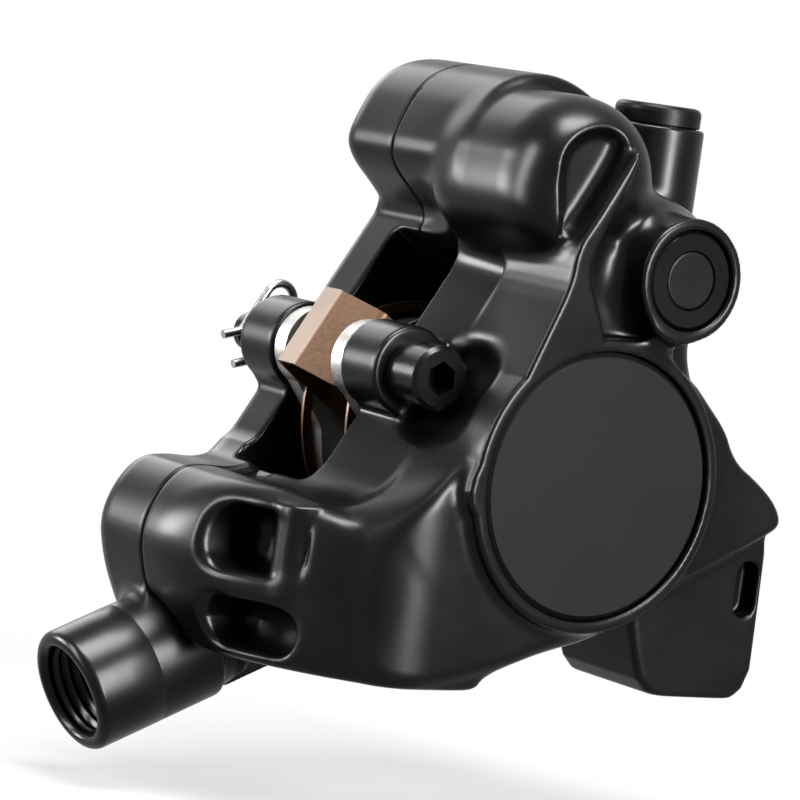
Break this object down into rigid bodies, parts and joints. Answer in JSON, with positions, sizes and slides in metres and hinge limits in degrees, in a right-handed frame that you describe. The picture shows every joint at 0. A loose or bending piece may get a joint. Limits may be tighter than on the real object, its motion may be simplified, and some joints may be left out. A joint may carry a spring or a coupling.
{
  "type": "bicycle disc brake caliper",
  "caption": "Flat-mount hydraulic bicycle disc brake caliper in two bolted halves, with opposed pistons, pads, pad spring and axle, bleed screw, bleed nipple and threaded hose inlet.",
  "frame": {"origin": "midway between the two M5 mounting holes, on the flat mounting face", "axes": "+X rearward along the line of the mounting holes, +Y inboard along the wheel axis towards the rotor, +Z away from the mounting face"},
  "size_m": [0.068, 0.0456, 0.073],
  "materials": {
    "body_black": "satin black over cast aluminium",
    "lid_grey": "matte dark grey",
    "bolt_steel": "dark zinc",
    "plate_steel": "bright plated",
    "lining_grey": "pressed friction compound",
    "spring_copper": "copper coloured sheet",
    "axle_steel": "stainless",
    "piston_grey": "turned",
    "screw_black": "dark anodised, turned",
    "seal_rubber": "matte black"
  },
  "bodies": {
    "caliper": {"body_outer": "body_black", "body_inner": "body_black", "body_bolts": "bolt_steel", "crossover_seal": "seal_rubber", "bore_cap": "lid_grey", "bore_cap_seal": "seal_rubber", "outer_piston_seal": "seal_rubber", "inner_piston_seal": "seal_rubber", "pad_spring": "spring_copper", "pad_axle": "axle_steel", "axle_clip": "axle_steel", "bleed_screw_oring": "seal_rubber"},
    "outer_piston": {"outer_piston": "piston_grey"},
    "inner_piston": {"inner_piston": "piston_grey"},
    "outer_pad": {"outer_pad_plate": "plate_steel", "outer_pad_lining": "lining_grey"},
    "inner_pad": {"inner_pad_plate": "plate_steel", "inner_pad_lining": "lining_grey"},
    "bleed_nipple": {"bleed_nipple": "plate_steel"},
    "nipple_cap": {"nipple_cap": "seal_rubber"},
    "bleed_screw": {"bleed_screw": "screw_black"},
    "bleed_screw_cap": {"bleed_screw_cap": "seal_rubber"}
  },
  "joints": [
    {"name": "outer_piston_slide", "type": "slide", "parent": "caliper", "child": "outer_piston", "axis": [0, 1, 0], "range_m": [0, 0.0012]},
    {"name": "inner_piston_slide", "type": "slide", "parent": "caliper", "child": "inner_piston", "axis": [0, -1, 0], "range_m": [0, 0.0012]},
    {"name": "outer_pad_slide", "type": "slide", "parent": "caliper", "child": "outer_pad", "axis": [0, 1, 0], "range_m": [0, 0.0012], "deforming": ["pad_spring"]},
    {"name": "inner_pad_slide", "type": "slide", "parent": "caliper", "child": "inner_pad", "axis": [0, -1, 0], "range_m": [0, 0.0012], "deforming": ["pad_spring"]},
    {"name": "bleed_nipple_turn", "type": "hinge", "parent": "caliper", "child": "bleed_nipple", "pos_m": [0.0107, 0.0053, 0.0508], "axis": [0, 0, 1], "range_deg": [0, 90]},
    {"name": "nipple_cap_pull", "type": "slide", "parent": "caliper", "child": "nipple_cap", "axis": [0, 0, 1], "range_m": [0, 0.008]},
    {"name": "bleed_screw_turn", "type": "hinge", "parent": "caliper", "child": "bleed_screw", "pos_m": [0.0039, -0.013, 0.0423], "axis": [0, -1, 0], "range_deg": [0, 90]},
    {"name": "bleed_screw_cap_pull", "type": "slide", "parent": "bleed_screw", "child": "bleed_screw_cap", "axis": [0, -1, 0], "range_m": [0, 0.005]}
  ],
  "couplings": [
    {"joint": "inner_piston_slide", "follows": "outer_piston_slide", "ratio": 1},
    {"joint": "outer_pad_slide", "follows": "outer_piston_slide", "ratio": 1},
    {"joint": "inner_pad_slide", "follows": "outer_piston_slide", "ratio": 1}
  ]
}
